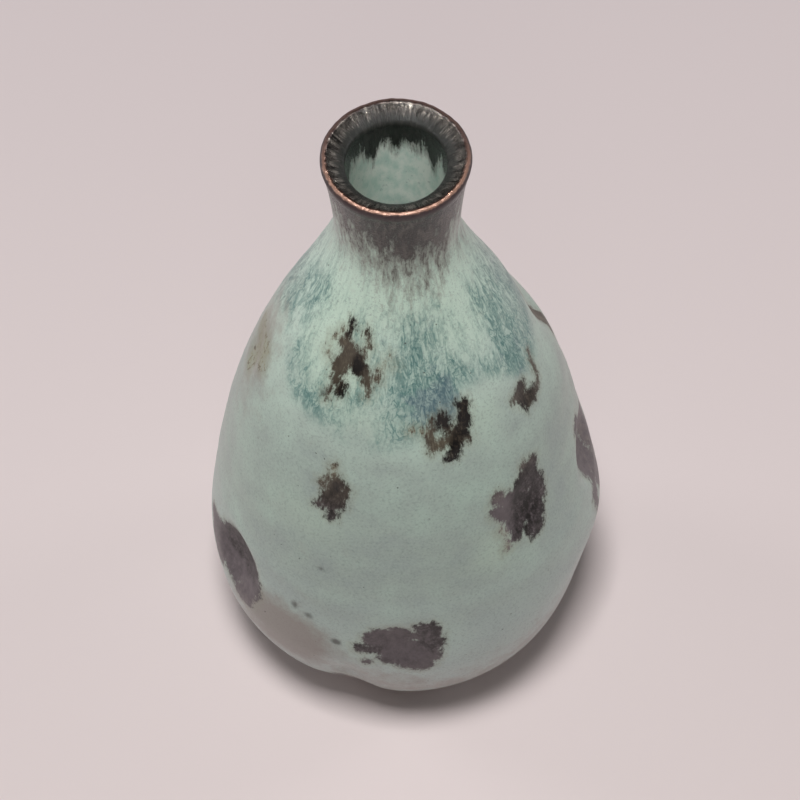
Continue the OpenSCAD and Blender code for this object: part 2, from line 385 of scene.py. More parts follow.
# The dark glaze of each spot as strokes from the middle of its hollow, but under the left painted shade in
# its dent: the two ends (across, up), the width, and the tone, from 0 for a thin yellow-brown to 1 for
# black.
STROKES = {
    "spot_shoulder_left": [
        (-2.2, 5.5, -2, 8, 1.5, 1), (-2.5, 4, -1, 2.6, 3.4, 0.5), (-1, 2.6, -2.6, -1, 3.4, 0.5),
        (0.4, 1.8, 1, 0, 3.2, 1), (-2.6, -1, -2.5, -3.3, 2.2, 0.6), (-1.5, -3.6, -1.6, -4.8, 1.7, 0.9),
        (-2.5, -3.3, -3.4, -7.2, 1.2, 0.6), (2, 0, 2.9, -1.5, 2.6, 0.6), (2.9, -1.5, 3.1, -3.8, 1.6, 0.5),
        (3, -1, 4.5, -0.6, 1.8, 0.4), (4.5, 0.8, 6.4, 3.7, 1.1, 0.15), (6.4, 3.7, 7.3, 2, 0.9, 0.1),
        (1.4, 7.6, 1.5, 7.2, 1.3, 0.9), (1.4, 7.2, 2.4, 4.6, 1.2, 0.4), (-3.4, 6.5, -5.4, 3.5, 1.2, 0.2),
        (-5.4, 3.5, -5.4, 0.4, 1.2, 0.2), (1.6, 3.8, 1.4, 2, 1.4, 0.4)],
    "spot_shoulder_front": [
        (-0.7, 3.4, -0.6, 1.4, 1.8, 1), (-0.6, 1.4, 1, -2.2, 2, 0.9), (3.9, 4.2, 2.9, 0.5, 2.4, 0.9),
        (2.9, 0.5, 1.1, -2.6, 2.4, 1), (0.8, -2.6, -0.1, -4.6, 2, 1), (-3.4, 1.3, -2.7, 3.2, 1.5, 0.6),
        (-3.4, 1.3, -2.6, -2.1, 2.2, 0.45), (-2.9, -2.1, 0, -1.6, 2.4, 0.45),
        (-6.7, 2.1, -4, 1.2, 1.5, 0.05), (2, -2, 2.9, -2.6, 1.8, 0.6), (0.8, 0.4, 1.4, -1, 1.6, 0.5)],
    "spot_shoulder_right": [
        (0.2, 1.6, -0.2, 0.4, 3.4, 0.75), (0, 0.2, 0.8, -1.8, 3.2, 0.8), (0.9, -1, 2.6, -1.8, 2.6, 0.8),
        (-2.2, 1.5, -0.5, 1, 2.2, 0.6), (2.6, -2.4, 5.4, -1, 1.3, 0.55), (5.4, -1, 6.6, 4.4, 1.3, 0.55)],
    "spot_waist_left": [
        (-0.7, 6.1, -0.4, 3.9, 2, 0.35), (-2.7, 1.8, -1.4, 0.4, 1.8, 0.45), (0.7, 2.8, 0.4, 0.6, 3, 0.8),
        (2.2, 2.1, 1.4, -1.4, 2.2, 0.7), (0.1, 0, -0.4, -1.8, 4.4, 0.75), (-2.4, -3.2, -0.8, -2, 2.4, 0.7),
        (0.4, -2.6, 0.2, -4.8, 2, 0.8), (-1.6, 3.2, -1, 1.4, 1.4, 0.4)],
    "spot_belly_right": [
        (5, 8.3, 2.9, 6.4, 3.4, 0.75), (2.5, 9.6, 3.6, 8, 1.8, 0.5), (2.9, 6.4, 0.5, 3.8, 5.4, 0.85),
        (4.4, 3.6, 4.6, 0, 4.2, 0.85), (0.5, 3.8, 0.4, -1.2, 5.6, 0.95), (3.6, 0, 1.8, -6, 4.4, 0.85),
        (0.6, -1, -2.6, -4.6, 3.4, 0.75), (-4.6, 6.8, -2, 2.4, 3.6, 0.5), (-5.4, 3.8, -2, 0.2, 3.8, 0.55),
        (-1.8, 5, -2.6, -2, 3.6, 0.7), (-5.6, -0.6, -4.4, -2.4, 2.2, 0.1), (-4.6, -4.6, -5, -6, 2, 0.1)],
    "spot_low_front": [
        (-4.6, 2, -1, 2.6, 6.4, 0.62), (5, 4.2, 5, -1, 5.2, 0.75), (-1, -2, 3, -3, 8.4, 0.6),
        (3.4, -6, 0.6, -5, 5, 0.62), (-8, -1.8, -4, -1.4, 2.6, 0.75), (3.3, 6.2, 5.2, 6.4, 2.2, 0.75),
        (-7, -6.6, -6.6, -5.4, 1.4, 0.6), (-3, -3, -3, -4.4, 3, 0.62), (0, 2.6, 4, 2.4, 3.4, 0.65)],
    "spot_flank_left": [
        (-12, -3, -8, -3, 5, 0.6), (-8, -2, -4, 0, 6, 0.62), (-3, 0, 2, 1, 9, 0.75),
        (3, 1.5, 4.5, -2, 8.4, 0.68), (5, -4, 3.5, -8, 6.4, 0.5), (-6, -4, 0, -5, 7, 0.55),
        (-10, -6, -6, -8, 5, 0.5)],
    "spot_flank_right": [
        (-0.8, 8.5, -0.5, 3, 4.5, 0.62), (0, 2, 0, -4, 7.5, 0.52), (1, -5, 2, -12, 6, 0.48),
        (6, 2, 6, -8, 6, 0.45), (-1, -6, -3.5, -11, 3.6, 0.5), (-3.5, -11, -3, -15, 2.4, 0.45)],
    "spot_shoulder_far_right": [(0, 6, -1, -6, 3.4, 0.5)],
    "spot_shoulder_far_left": [(-3, 3, 4, 4, 7, 0.0), (0, 0, 0, -3, 5, 0.0)],
    # The stroke under the left is painted shade in the dent at the bottom edge.
    "spot_under_left": [(-2, -6, 3.5, -6.5, 4, 0.42)],
}

# Thin places where the brown of the body comes through, and bluish and pale drifts in the turquoise:
# azimuth in degrees from the front, height, half widths and strength.
THIN = [(-42, 32, 7, 5, 1.1), (-32, 29, 6, 5, 1.1), (-5, 23, 5, 3, 0.5), (6, 16, 14, 4, 0.9),
        (-48, 22, 10, 5, 0.8), (50, 22, 13, 5, 0.6), (74, 27, 8, 6, 0.3), (150, 30, 12, 7, 0.9),
        (-120, 22, 14, 5, 0.7), (96, 60, 6, 14, 0.25), (-90, 84, 6, 9, 1.1)]
BLUE = [(19, 90, 4, 3.5, 2.3), (12, 94, 5, 3, 0.9), (60, 89, 5, 5, 1.2), (0, 104, 8, 3, 0.4),
        (-42, 90, 5, 6, 0.7), (8, 101, 8, 5, 0.3), (160, 92, 8, 5, 0.4), (-120, 96, 6, 5, 0.5),
        (105, 96, 7, 5, 0.4)]
PALE = [(-40, 99, 5, 6, 1.6), (42, 103, 8, 5, 0.6), (-16, 89, 6, 3, 0.5), (33, 86, 6, 4, 0.7),
        (-24, 66, 7, 4, 0.5), (30, 57, 4, 5, 0.8), (-38, 64, 8, 6, 0.4), (-8, 112, 12, 5, 0.8),
        (-14, 33, 3, 4, 0.6), (14, 38, 4, 6, 0.3), (130, 76, 12, 9, 0.6)]

# Single dark specks, in the same terms.
SPECKS = [(-20, 34, 0.8, 0.7, 1), (-29, 39, 0.8, 0.7, 0.7), (-34, 40, 0.6, 0.9, 0.8),
          (-26, 54, 0.7, 0.5, 0.6)]

# The radius of the cylinder on which the streaks' pattern is drawn.
FLOW_RADIUS = 30.0

# How far round its middle a spot's strokes are measured, and how far outside them that still counts.
SPOT_REACH = 20.0
FAR = 6.0

# How sharply the tone of a point goes over to the stroke that it is deepest in.
TONE_SHARPNESS = 2

# The largest value that a measured field keeps, either way.
FIELD_LIMIT = 9

# Heights over the floor between which the brown that shows through near the foot fades.
BROWN_FOOT = (2, 12)

# The bell, in columns, that eases the ends of the runs in the throat, and one that eases nothing.
RUN_EASE = 4
NO_EASE = 0.01

# How far down the neck the runs of the metallic glaze reach: azimuth in degrees and height.
RUN_TIPS = [(-180, 120), (-120, 118), (-90, 121), (-53, 121), (-34, 121), (-22, 119), (-11, 117), (0, 116),
            (10, 114.5), (20, 116), (30, 116), (49, 117), (58, 120), (90, 119), (120, 121), (150, 118),
            (180, 120)]

# The lower edge of the blue-green runs on the shoulder: azimuth in degrees and height.
STREAK_EDGE = [(-180, 86), (-120, 84), (-79, 96), (-53, 87), (-12, 84), (10, 86), (23, 88), (31, 94),
               (45, 93), (73, 84), (110, 88), (150, 80), (180, 86)]

# Heights between which the runs of the shoulder thin out toward the neck, and by how much.
STREAK_TOP = (107, 114)
STREAK_THINS = 0.6


def made_up_strokes(size, number):
    """Strokes for a spot that no picture shows, from the size of its hollow."""
    across, up = 0.5 * size[0], 0.5 * size[1]
    slant = 0.3 * math.sin(2.4 * number)
    side = math.copysign(1, math.sin(1.7 * number))
    shares = [(slant, 0.5, -slant, -0.3, 0.8, 0.8),
              (0.5 * side, 0.6, 0.3 * side, -0.1, 0.5, 0.6),
              (-0.4 * side, 0.1, -0.3 * side, -0.6, 0.5, 0.7),
              (0.2 * side, -0.4, 0.1 * side, -0.9, 0.35, 0.9),
              (-0.7 * side, 0.4, -0.6 * side, 0.1, 0.3, 0.3)]
    return [(x0 * across, y0 * up, x1 * across, y1 * up, width * across, tone)
            for x0, y0, x1, y1, width, tone in shares]


def spot_fields():
    """How far inside the dark glaze of a spot each point is, and the tone of the strokes near it."""
    tiny = 1e-6
    inside = np.full((ROWS, COLUMNS), -FAR)
    weights = np.full((ROWS, COLUMNS), tiny)
    tones = np.zeros((ROWS, COLUMNS))
    for number, node in enumerate(n for n in sorted(frame["nodes"]) if n.startswith("spot_")):
        low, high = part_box(node)
        middle = (low + high) / 2 / MM
        size = ((high - low).to_2d().length / MM, (high.z - low.z) / MM)
        azimuth = math.degrees(math.atan2(middle.x, -middle.y))
        x = apart(azimuth)[None] * middle.to_2d().length
        y = Z[:, None] - middle.z
        near = OUTSIDE[:, None] & (np.hypot(x, y) < SPOT_REACH)
        for x0, y0, x1, y1, width, tone in STROKES.get(node, made_up_strokes(size, number)):
            dx, dy = x1 - x0, y1 - y0
            t = np.clip(((x - x0) * dx + (y - y0) * dy) / max(dx * dx + dy * dy, tiny), 0, 1)
            gap = width / 2 - np.hypot(x - x0 - t * dx, y - y0 - t * dy)
            inside = np.where(near, np.maximum(inside, gap), inside)
            weight = np.exp(TONE_SHARPNESS * np.clip(gap, -FAR, FAR)) * near
            weights += weight
            tones += weight * tone
    return inside, tones / weights


def at_columns(table):
    """A table of (azimuth, value) read off at each column."""
    return np.interp(DEGREES, *zip(*table))


def metal_field(outer_slope=0.3, outer_start=0.3, inner_slope=1.2, inner_start=2):
    """How far the metallic glaze has come, on the neck and in the throat: below 0 past its runs' ends."""
    outer = outer_slope * (Z[:, None] - at_columns(RUN_TIPS)) - outer_start
    last_row = ROWS - 1 - (OWNER == "lip_glaze")[::-1].argmax(0)
    last = blurred(S[last_row][None], NO_EASE, RUN_EASE)
    inner = inner_slope * (last - S[:, None]) - inner_start
    return np.where(OUTSIDE[:, None], outer, inner)


def streaked_zone(below=2, above=3):
    """1 on the shoulder, where the blue-green runs lie, down to an uneven lower edge."""
    lower = at_columns(STREAK_EDGE)
    upper = 1 - STREAK_THINS * step_between(Z, *STREAK_TOP)
    return step_between(Z[:, None], lower - below, lower + above) * (upper * OUTSIDE)[:, None]


def all_fields():
    """Everything that the materials read at each point of the grid."""
    spot, tone = spot_fields()
    down, across = np.ones((ROWS, 1)), np.ones((1, COLUMNS))
    start, end = [BASE + height for height in BROWN_FOOT]
    brown_foot = (1 - step_between(Z, start, end))[:, None] * OUTSIDE[:, None]
    flow = [FLOW_RADIUS * HEADING[0] * down, FLOW_RADIUS * HEADING[1] * down, S[:, None] * across]
    return {
        "flow": np.stack(flow, -1),
        "spot": spot,
        "tone": tone,
        "metal": np.clip(metal_field(), -FIELD_LIMIT, FIELD_LIMIT),
        "streaked": streaked_zone(),
        "thin": drifts(THIN) + brown_foot,
        "blue": drifts(BLUE),
        "pale": drifts(PALE),
        "speck": drifts(SPECKS),
        "crest": np.clip(S - S[CREST], -FIELD_LIMIT, FIELD_LIMIT)[:, None] * across,
        "inner": (~OUTSIDE).astype(float)[:, None] * across,
    }


FIELDS = all_fields()


# ---------------------------------------------------------------- pieces

def grid_faces(rows, columns):
    """The quads of a grid that closes round the axis, as four numbers of points each."""
    k, j = np.meshgrid(np.arange(rows - 1), np.arange(columns), indexing="ij")
    right = (j + 1) % columns
    return np.stack([k * columns + j, k * columns + right,
                     (k + 1) * columns + right, (k + 1) * columns + j], -1)


def closed_ends(faces, rows, columns):
    """The faces with all the points of the first row as one, and all those of the last row as another."""
    last = (rows - 1) * columns
    return np.where(faces >= last, last, np.where(faces < columns, 0, faces))


def without_repeats(faces):
    """The faces as lists, each without repeated points: the cells that meet at the axis have three."""
    return [list(dict.fromkeys(face)) for face in faces.tolist()]


def in_scene(name, data):
    """A new object in the scene."""
    piece = bpy.data.objects.new(name, data)
    bpy.context.collection.objects.link(piece)
    return piece


def new_piece(name, points, normals, faces, fields, slot):
    """A smooth mesh in the scene that stands for the solid of the same name."""
    mesh = bpy.data.meshes.new(name)
    mesh.from_pydata((points * MM).tolist(), [], faces)
    mesh.polygons.foreach_set("use_smooth", [True] * len(mesh.polygons))
    for field, values in fields.items():
        if values.ndim == 2:
            mesh.attributes.new(field, "FLOAT_VECTOR", "POINT").data.foreach_set("vector", values.ravel())
        else:
            mesh.attributes.new(field, "FLOAT", "POINT").data.foreach_set("value", values)
    mesh.update()
    mesh.normals_split_custom_set_from_vertices(normals.tolist())
    mesh.materials.append(MATERIALS[slot])
    piece = in_scene(name, mesh)
    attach(piece, "root")
    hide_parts(name)


def shell(name, owned, depth, slot):
    """A closed piece: the cells that a node owns, the same cells pushed in by its depth, and its edges."""
    cells = closed_ends(grid_faces(ROWS, COLUMNS)[owned[:-1]], ROWS, COLUMNS)
    used, packed = np.unique(cells, return_inverse=True)
    faces = without_repeats(packed.reshape(cells.shape))
    count = len(used)
    edges = {(a, b) for face in faces for a, b in zip(face, face[1:] + face[:1])}
    rim = [(b, a, a + count, b + count) for a, b in edges if (b, a) not in edges]
    inner = [[i + count for i in reversed(face)] for face in faces]
    outer = POINTS.reshape(-1, 3)[used]
    out = NORMALS.reshape(-1, 3)[used]
    points = np.concatenate([outer, outer - out * depth])
    normals = np.concatenate([out, -out])
    fields = {key: np.concatenate([field.reshape(ROWS * COLUMNS, -1)[used]] * 2).squeeze()
              for key, field in FIELDS.items()}
    new_piece(name, points, normals, faces + inner + sorted(rim), fields, slot)


def clay(slot, every=2, ease=0.8, edge=(0.2, 0.8)):
    """The fired body: the skin itself where it is bare, and just below the coats everywhere else."""
    bare = blurred((OWNER == "clay_body").astype(float), ease, ease)
    under = np.where(OUTSIDE, COAT, LINER)[:, None] + CLEAR
    points = POINTS - NORMALS * (under * step_between(1 - bare, *edge))[..., None]
    points = points[::every, ::every]
    points[0], points[-1] = points[0].mean(0), points[-1].mean(0)
    rows, columns = points.shape[:2]
    cells = closed_ends(grid_faces(rows, columns).reshape(-1, 4), rows, columns)
    used, packed = np.unique(cells, return_inverse=True)
    faces = without_repeats(packed.reshape(cells.shape))
    normals = NORMALS[::every, ::every].reshape(-1, 3)[used]
    fields = {key: field[::every, ::every].reshape(rows * columns, -1)[used].squeeze()
              for key, field in FIELDS.items()}
    new_piece("clay_body", points.reshape(-1, 3)[used], normals, faces, fields, slot)


# ---------------------------------------------------------------- materials

def srgb(*levels):
    """A colour given as it looks on the screen, from 0 to 255, in the linear form that shaders take."""
    linear = [(c / 255 / 12.92) if c < 10.3 else ((c / 255 + 0.055) / 1.055) ** 2.4 for c in levels]
    return (*linear, 1)


def stops(*rows):
    """A ramp from rows of a position and the three levels of its colour."""
    return [(position, srgb(*levels)) for position, *levels in rows]


# The turquoise and what drifts over it.
TURQUOISE = stops((0.25, 155, 168, 165), (0.5, 166, 182, 173), (0.75, 176, 198, 185))
MINT = srgb(216, 238, 223)
COOL_GREY = srgb(184, 200, 196)
PALE_GREEN = srgb(196, 220, 198)
DARK_GRAIN = srgb(120, 134, 130)
LIGHT_GRAIN = srgb(190, 206, 190)
THIN_BROWN = srgb(142, 129, 122)
PIT = srgb(70, 70, 66)

# The runs of the shoulder.
TEAL = srgb(100, 156, 148)
SLATE_BLUE = srgb(98, 130, 144)
VEIL = srgb(150, 176, 166)
DARK_RUN = srgb(78, 94, 102)
FINE_RUN = srgb(56, 90, 94)

# The lining of the throat: its turquoise glaze, painted paler as painted light for the light that falls
# inside.
LINING_PAINTED_LIGHT = stops((0.35, 206, 230, 218), (0.6, 246, 254, 244))
FLECK = srgb(120, 146, 142)

# The spots, from thin to thick: cold ones low down and warm ones on the shoulder.
COLD_SPOT = stops((0.05, 150, 150, 132), (0.3, 122, 114, 110), (0.5, 103, 95, 98), (0.78, 58, 53, 54),
                  (1, 18, 17, 15))
WARM_SPOT = stops((0.05, 156, 157, 130), (0.3, 122, 116, 98), (0.5, 88, 81, 69), (0.78, 52, 46, 38),
                  (1, 16, 15, 13))
HALO = srgb(150, 154, 134)

# The metallic glaze.
STEEL = stops((0.2, 30, 28, 28), (0.5, 52, 48, 47), (0.9, 98, 93, 88))
# The dish's hairs: lustre, with painted glints at their bright end.
HAIRS_AND_PAINTED_GLINTS = stops((0.3, 34, 32, 31), (0.6, 112, 106, 100), (0.85, 196, 188, 178))
STAIN = srgb(132, 128, 120)
THROAT_BLACK = srgb(24, 24, 23)
NECK_BLACK = srgb(26, 22, 23)
RIM_BROWN = srgb(62, 46, 48)
# The crest's copper, painted brighter as painted highlight.
COPPER_AND_HIGHLIGHT = srgb(188, 146, 126)

# The bare clay and the floor.
CLAY = stops((0.3, 150, 124, 104), (0.7, 178, 152, 128))
IRON = srgb(84, 62, 50)
PAPER = srgb(222, 209, 208)
PAPER_LIGHT = srgb(227, 214, 212)
# Painted shade: the floor's colour toward the back.
PAPER_PAINTED_SHADE = srgb(209, 197, 198)

# Heights between which the turquoise turns to mint, cools below, and the spots turn from cold to warm.
MINT_ZONE = (70, 114)
COOL_ZONE = (58, 18)
WARM_ZONE = (66, 74)

# Places from back to front between which the copper on the lip's edge comes up as painted highlight, and
# from front to back between which painted shade darkens the floor.
LIP_FRONT_HIGHLIGHT = (5, -9)
FLOOR_SHADE_SPAN = (-150, 330)

# Settings of the glazes' gloss.
GLAZE_IOR = 1.5
GLAZE_SPECULAR = 0.32
METAL_SPECULAR = 0.4


class Value:
    """A number that a node gives. Its sums and products are nodes too."""

    def __init__(self, nodes, socket):
        self.nodes = nodes
        self.socket = socket

    def __add__(self, other):
        return self.nodes.math("ADD", self, other)

    def __sub__(self, other):
        return self.nodes.math("SUBTRACT", self, other)

    def __rsub__(self, other):
        return self.nodes.math("SUBTRACT", other, self)

    def __mul__(self, other):
        return self.nodes.math("MULTIPLY", self, other)

    def __abs__(self):
        return self.nodes.math("ABSOLUTE", self, 0)

    __radd__ = __add__
    __rmul__ = __mul__


class Nodes:
    """A short way to write a material's nodes.

    place is the point on the object, in mm. flow is the point as if the outline were a plain cylinder,
    on which the streaks are drawn.
    """

    def __init__(self, name):
        self.material = bpy.data.materials.new(name)
        self.material.use_nodes = True
        self.tree = self.material.node_tree
        self.shader = self.tree.nodes["Principled BSDF"]
        self.place = self.scaled(self.add("ShaderNodeTexCoord", {}).outputs["Object"], 1 / MM)
        self.flow = self.add("ShaderNodeAttribute", {}, attribute_name="flow").outputs["Vector"]

    def put(self, socket, value):
        """Links a node's value to a socket, or sets the socket to a plain one."""
        if isinstance(value, Value):
            value = value.socket
        if isinstance(value, bpy.types.NodeSocket):
            self.tree.links.new(value, socket)
        else:
            socket.default_value = value

    def add(self, kind, inputs, **settings):
        """A new node with its settings and inputs."""
        node = self.tree.nodes.new(kind)
        for key, setting in settings.items():
            setattr(node, key, setting)
        for key, value in inputs.items():
            self.put(node.inputs[key], value)
        return node

    def number(self, output, kind, inputs, **settings):
        """One output of a new node, as a number to reckon with."""
        return Value(self, self.add(kind, inputs, **settings).outputs[output])

    def math(self, operation, a, b):
        """A sum, product or the like of two numbers."""
        return self.number(0, "ShaderNodeMath", {0: a, 1: b}, operation=operation)

    def step(self, value, low, high):
        """0 at low, 1 at high and a smooth step between."""
        inputs = {"Value": value, "From Min": low, "From Max": high}
        return self.number("Result", "ShaderNodeMapRange", inputs, interpolation_type="SMOOTHSTEP")

    def field(self, name):
        """One of the fields of the skin."""
        return self.number("Fac", "ShaderNodeAttribute", {}, attribute_name=name)

    def coordinate(self, axis):
        """The place along one axis, in mm."""
        return self.number(axis, "ShaderNodeSeparateXYZ", {"Vector": self.place})

    def scaled(self, vector, factor):
        """A vector made so many times longer."""
        return self.add("ShaderNodeVectorMath", {0: vector, "Scale": factor}, operation="SCALE").outputs[0]

    def vectors(self, operation, a, b):
        """A sum, product or the like of two vectors."""
        return self.add("ShaderNodeVectorMath", {0: a, 1: b}, operation=operation).outputs[0]

    def stretched(self, vector, share):
        """The vector with only this share of its height, which draws a pattern out up the wall."""
        return self.vectors("MULTIPLY", vector, (1, 1, share))

    def noise(self, vector, scale, detail, roughness=0.55, distortion=0):
        """A cloudy value from about -0.5 to 0.5, with this many clouds to a unit of the vector."""
        inputs = {"Vector": vector, "Scale": scale, "Detail": detail, "Roughness": roughness,
                  "Distortion": distortion}
        return self.number("Fac", "ShaderNodeTexNoise", inputs) - 0.5

    def curled(self, vector, scale, reach):
        """The point moved about by a cloudy noise, which curls the streaks that are read there."""
        cloud = self.add("ShaderNodeTexNoise", {"Vector": vector, "Scale": scale, "Detail": 2})
        centred = self.vectors("SUBTRACT", cloud.outputs["Color"], (0.5, 0.5, 0.5))
        return self.vectors("ADD", vector, self.scaled(centred, reach))

    def threads(self, vector, scale, width):
        """Thin wandering lines, 1 in their middle."""
        return self.step(abs(self.noise(vector, scale, 2, 0.5)), width, 0)

    def cells(self, scale):
        """The distance to the nearest of many scattered points, in parts of their spacing."""
        return self.number("Distance", "ShaderNodeTexVoronoi", {"Vector": self.place, "Scale": scale})

    def mix(self, share, a, b):
        """Colour a, with this share of colour b over it. A Mix node's colours are its inputs 6 and 7."""
        return self.add("ShaderNodeMix", {0: share, 6: a, 7: b}, data_type="RGBA").outputs[2]

    def ramp(self, value, rows):
        """The colour that a ramp has at a value."""
        node = self.add("ShaderNodeValToRGB", {"Fac": value})
        elements = node.color_ramp.elements
        while len(elements) < len(rows):
            elements.new(0.5)
        for element, (position, colour) in zip(elements, rows):
            element.position, element.color = position, colour
        return node.outputs["Color"]

    def finish(self, colour, roughness):
        """The material with its colour and roughness."""
        self.put(self.shader.inputs["Base Color"], colour)
        self.put(self.shader.inputs["Roughness"], roughness)
        return self.material

    def add_relief(self, height, strength, depth):
        """Gives the surface its fine relief, with a depth in mm for a height of 1."""
        inputs = {"Height": height, "Strength": strength, "Distance": depth * MM}
        relief = self.add("ShaderNodeBump", inputs)
        self.put(self.shader.inputs["Normal"], relief.outputs["Normal"])


def ground(g):
    """The satin turquoise: cloudy green and grey, mint toward the neck and cooler toward the foot."""
    cloud = g.noise(g.place, 0.045, 3)
    drift = g.noise(g.place, 0.16, 4)
    height = g.coordinate("Z")
    colour = g.ramp(0.5 + 0.9 * cloud + 0.6 * drift, TURQUOISE)
    colour = g.mix(g.step(height + 14 * drift, *MINT_ZONE), colour, MINT)
    colour = g.mix(g.step(height, *COOL_ZONE), colour, COOL_GREY)
    return g.mix(0.4 * g.step(g.field("pale"), 0.1, 1), colour, PALE_GREEN)


def shoulder_runs(g, colour):
    """The blue-green runs of the shoulder: a soft veil, wide dark runs, and fine ones through them."""
    zone, blue, pale = g.field("streaked"), g.field("blue"), g.field("pale")
    swirl = g.curled(g.curled(g.stretched(g.flow, 0.6), 0.3, 4), 0.9, 1)
    streak = g.noise(g.stretched(swirl, 0.7), 0.6, 4, 0.65)
    crowd = 0.7 * g.noise(swirl, 0.13, 4, 0.6) + 0.045 + 0.12 * blue - 0.16 * pale
    hue = g.noise(g.place, 0.25, 2) + 0.2 * blue
    teal = g.mix(g.step(hue, 0.16, 0.4), TEAL, SLATE_BLUE)
    veil = g.step(0.5 * streak + crowd, -0.2, 0.25)
    colour = g.mix(0.55 * (veil * zone), colour, g.mix(0.5, teal, VEIL))
    dark = g.step(streak + 1.1 * crowd, 0.06, 0.4)
    wide = g.step(zone + 0.35 * blue, 0.25, 1)
    colour = g.mix(0.45 * (dark * wide), colour, g.mix(0.45, teal, DARK_RUN))
    threads = g.math("MAXIMUM", g.threads(swirl, 0.42, 0.075), 0.75 * g.threads(swirl, 0.85, 0.085))
    crowded = g.step(crowd + 0.5 * streak, -0.16, 0.16)
    return g.mix(0.95 * (threads * crowded * zone), colour, g.mix(0.55, teal, FINE_RUN))


def grained(g, grain, colour):
    """Fine dark and light grain over the turquoise."""
    colour = g.mix(0.4 * g.step(grain, 0, 0.16), colour, DARK_GRAIN)
    return g.mix(0.25 * g.step(grain, 0, -0.16), colour, LIGHT_GRAIN)


def pinholes(g):
    """Scattered small pits with dark mouths."""
    some = g.step(g.noise(g.place, 0.21, 2), 0, 0.1)
    return g.math("LESS_THAN", g.cells(0.42), 0.07) * some


def worn(g, pits, colour):
    """The brown of the body where the coat is thin, and the pits and specks."""
    mist = g.noise(g.place, 0.3, 5, 0.65)
    thin = g.step(g.field("thin") + 1.6 * mist, 0.05, 1.3)
    colour = g.mix(0.78 * thin, colour, THIN_BROWN)
    specks = g.step(g.field("speck"), 0.1, 0.8)
    return g.mix(g.math("MAXIMUM", 0.7 * pits, 0.8 * specks), colour, PIT)


def lined_with_painted_light(g, colour):
    """The inside's glaze with its dark flecks, painted near white as painted light in the throat."""
    pool = g.noise(g.stretched(g.place, 0.6), 0.5, 4, 0.6)
    flecks = g.step(g.noise(g.place, 1.7, 2, 0.6), 0.12, 0.22)
    # Painted light: the lining's paleness stands in for light that reaches into the throat.
    bright = g.mix(0.4 * flecks, g.ramp(0.5 + pool, LINING_PAINTED_LIGHT), FLECK)
    return g.mix(0.9 * g.field("inner"), colour, bright)


def spotted(g, blotch, colour):
    """The spots of dark glaze, ragged and uneven in tone. Also gives how far they cover the turquoise."""
    ragged = g.noise(g.curled(g.stretched(g.flow, 0.45), 0.7, 1.6), 0.9, 5, 0.75)
    crumbs = g.noise(g.stretched(g.flow, 0.7), 2.4, 3, 0.7)
    even = g.field("tone")
    edge = g.field("spot") + (4.2 * ragged + 2.6 * blotch + 1.2 * crumbs)
    lively = 0.3 + 3.5 * abs(even - 0.58)
    tone = even + lively * (ragged + 0.8 * blotch + 0.4 * crumbs)
    ink = g.mix(g.step(g.coordinate("Z"), *WARM_ZONE), g.ramp(tone, COLD_SPOT), g.ramp(tone, WARM_SPOT))
    colour = g.mix(0.4 * g.step(edge, -1.9, 0.4), colour, HALO)
    cover = g.step(edge + even, 0.1, 1.3)
    return g.mix(cover * g.step(tone, -0.5, 0.4), colour, ink), cover


def metalled(g, blotch, colour):
    """The metallic glaze: dark steel outside and in the throat, and in the lip's dish bright hairs, partly
    painted glints.

    Also gives how fully it covers, how far that is inside, how much of it shines, and its fine streaks.
    """
    inner = g.field("inner")
    drip = g.noise(g.stretched(g.flow, 0.35), 0.16, 4, 0.75, 0.6)
    fine = g.noise(g.stretched(g.flow, 0.12), 1.2, 4, 0.7)
    mottle = g.noise(g.curled(g.stretched(g.flow, 0.75), 0.5, 2), 0.34, 5, 0.75)
    torn = fine * (1.8 + 1.2 * inner)
    level = g.field("metal") + 4 * drip + torn + 13 * mottle
    colour = g.mix(0.65 * g.step(level, -2.5, 1.5), colour, STAIN)
    full = g.step(level + inner * (5 * blotch), 0, 2.8)
    within = g.step(g.field("crest") + 5 * mottle + 2 * fine, 1, 2.7)
    steel = g.ramp(0.5 + 0.8 * fine + 4 * mottle, STEEL)
    steel = g.mix(0.85 * within, steel, THROAT_BLACK)
    steel = g.mix(0.15 - 0.15 * inner, steel, NECK_BLACK)
    colour = g.mix(0.96 * full, colour, steel)
    dish = full * inner
    sheen = dish * (1 - within)
    # Painted glints: the dish's hairs are painted near white, as well as made metallic.
    hairs = g.noise(g.stretched(g.flow, 0.5), 0.5, 5, 0.85)
    return g.mix(sheen, colour, g.ramp(0.5 + 2.2 * hairs, HAIRS_AND_PAINTED_GLINTS)), full, dish, sheen, fine


def edged(g, colour):
    """The lip's edge, brown outside and copper on the crest, painted as a highlight mostly in front. Also
    gives where.
    """
    crest = g.field("crest") + 0.7 * g.noise(g.stretched(g.flow, 0.3), 0.5, 3)
    rim = g.step(abs(crest + 1), 1.7, 0.8)
    colour = g.mix(0.85 * rim, colour, RIM_BROWN)
    # Painted highlight: the copper is painted strongly in front, where the light catches it, and faintly
    # behind.
    front = g.step(g.coordinate("Y"), *LIP_FRONT_HIGHLIGHT)
    copper_and_highlight = g.step(abs(crest + 0.25), 0.55, 0.15) * (0.15 + 0.85 * front)
    return g.mix(0.8 * copper_and_highlight, colour, COPPER_AND_HIGHLIGHT), rim, copper_and_highlight


